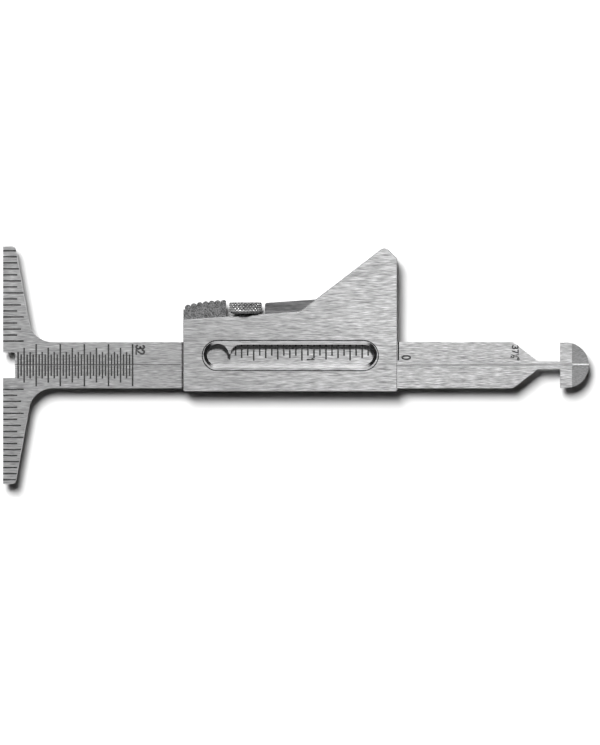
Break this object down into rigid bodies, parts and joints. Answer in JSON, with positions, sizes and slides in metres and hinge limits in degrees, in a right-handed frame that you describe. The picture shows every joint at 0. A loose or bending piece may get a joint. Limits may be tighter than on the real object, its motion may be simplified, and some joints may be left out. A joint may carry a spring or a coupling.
{
  "type": "hi-lo welding gauge",
  "caption": "Flat pocket gauge for pipe joints: a bevelled body with a scale window and a knurled screw, and two slides side by side with T feet and half-moon hooks.",
  "frame": {"origin": "on the body's measuring face, at the seam between the two slides, level with the bed that the slides lie on (the rear plate's inner face)", "axes": "+X along the slides, out of the measuring face towards the hooks; +Y across the slides towards the wing and the thumb screw; +Z out of the front face, so the gauge lies on its rear face"},
  "size_m": [0.1544, 0.0626, 0.0086],
  "materials": {
    "plate_steel": "brushed along the slides",
    "slide_steel": "brushed along the slides, engraved scales filled black",
    "blasted_steel": "matte, blasted",
    "filler_steel": "milled",
    "screw_steel": "turned and diamond knurled",
    "shoe_brass": "turned",
    "spring_steel": "rolled strip"
  },
  "bodies": {
    "body": {"front_plate": "plate_steel", "rear_plate": "plate_steel", "thumb_rest": "blasted_steel", "wing_filler": "filler_steel", "body_rivets": "plate_steel", "drag_spring": "spring_steel"},
    "upper_slide": {"upper_slide": "slide_steel"},
    "lower_slide": {"lower_slide": "slide_steel"},
    "clamp_shoe": {"pressure_shoe": "shoe_brass"},
    "thumb_screw": {"thumb_screw": "screw_steel"}
  },
  "joints": [
    {"name": "upper_slide_travel", "type": "slide", "parent": "body", "child": "upper_slide", "axis": [1, 0, 0], "range_m": [-0.0425, 0.034]},
    {"name": "lower_slide_travel", "type": "slide", "parent": "body", "child": "lower_slide", "axis": [1, 0, 0], "range_m": [-0.0425, 0.034]},
    {"name": "clamp_feed", "type": "slide", "parent": "body", "child": "clamp_shoe", "axis": [0, 1, 0], "range_m": [-0.00019843, 0.00079374]},
    {"name": "screw_turn", "type": "hinge", "parent": "clamp_shoe", "child": "thumb_screw", "pos_m": [-0.03993, 0.0085, 0.00122], "axis": [0, 1, 0], "range_deg": [-90, 360]}
  ],
  "couplings": [
    {"joint": "screw_turn", "follows": "clamp_feed", "rad_per_m": 7915.8}
  ]
}
